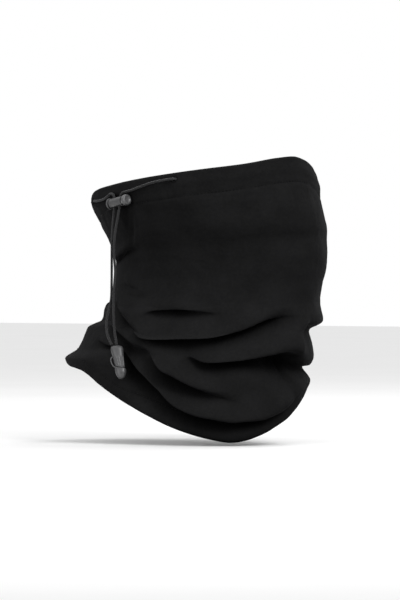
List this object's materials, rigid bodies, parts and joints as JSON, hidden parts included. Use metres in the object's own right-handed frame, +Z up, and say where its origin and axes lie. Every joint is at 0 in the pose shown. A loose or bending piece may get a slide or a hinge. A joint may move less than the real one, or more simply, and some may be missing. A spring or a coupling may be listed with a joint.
{
  "type": "neck gaiter",
  "caption": "Fleece tube for the neck and lower face, gathered at the collar, with a drawcord in the upper hem, a sprung barrel cord lock and a capped cord end.",
  "frame": {"origin": "on the wearer's neck axis, level with the lowest point of the hem", "axes": "+Z up the neck, wearer faces -Y, wearer's right is -X"},
  "size_m": [0.1892, 0.238, 0.2448],
  "materials": {
    "fleece": "brushed matt fleece",
    "fleece_facing": "brushed matt fleece",
    "thread": "twisted polyester thread",
    "cord": "braided elastic cord",
    "lock_plastic": "satin moulded acetal",
    "spring_steel": "drawn wire",
    "label_ribbon": "woven satin ribbon, blank"
  },
  "bodies": {
    "gaiter": {"neck_tube": "fleece", "top_hem_facing": "fleece_facing", "bottom_hem_facing": "fleece_facing", "top_hem_thread": "thread", "bottom_hem_thread": "thread", "nape_seam_thread": "thread", "care_label": "label_ribbon", "eyelet_back": "thread", "eyelet_front": "thread", "channel_cord": "cord", "strand_back": "cord", "strand_front": "cord"},
    "lock": {"lock_housing": "lock_plastic", "lock_spring": "spring_steel"},
    "lock_button": {"lock_plunger": "lock_plastic", "lock_retainer": "lock_plastic"},
    "cord_end": {"cord_end_shell": "lock_plastic", "cord_end_strap": "lock_plastic", "cord_knot": "cord"},
    "end_cap": {"cord_end_cap": "lock_plastic"}
  },
  "joints": [
    {"name": "lock_slide", "type": "slide", "parent": "gaiter", "child": "lock", "axis": [-0.1695, 0.04, -0.9847], "range_m": [0, 0.03]},
    {"name": "button_press", "type": "slide", "parent": "lock", "child": "lock_button", "axis": [0.2386, 0.957, -0.165], "range_m": [0, 0.0018], "stiffness_N_per_m": 600, "springref_m": -0.002, "deforming": ["lock_spring"]},
    {"name": "cord_end_swing", "type": "hinge", "parent": "gaiter", "child": "cord_end", "pos_m": [-0.09597, 0.03177, 0.0843], "axis": [-0.5911, 0.7998, -0.1045], "range_deg": [0, 40]},
    {"name": "cap_open", "type": "hinge", "parent": "cord_end", "child": "end_cap", "pos_m": [-0.10374, 0.02791, 0.06332], "axis": [0.7671, 0.5174, -0.3792], "range_deg": [0, 95]}
  ]
}
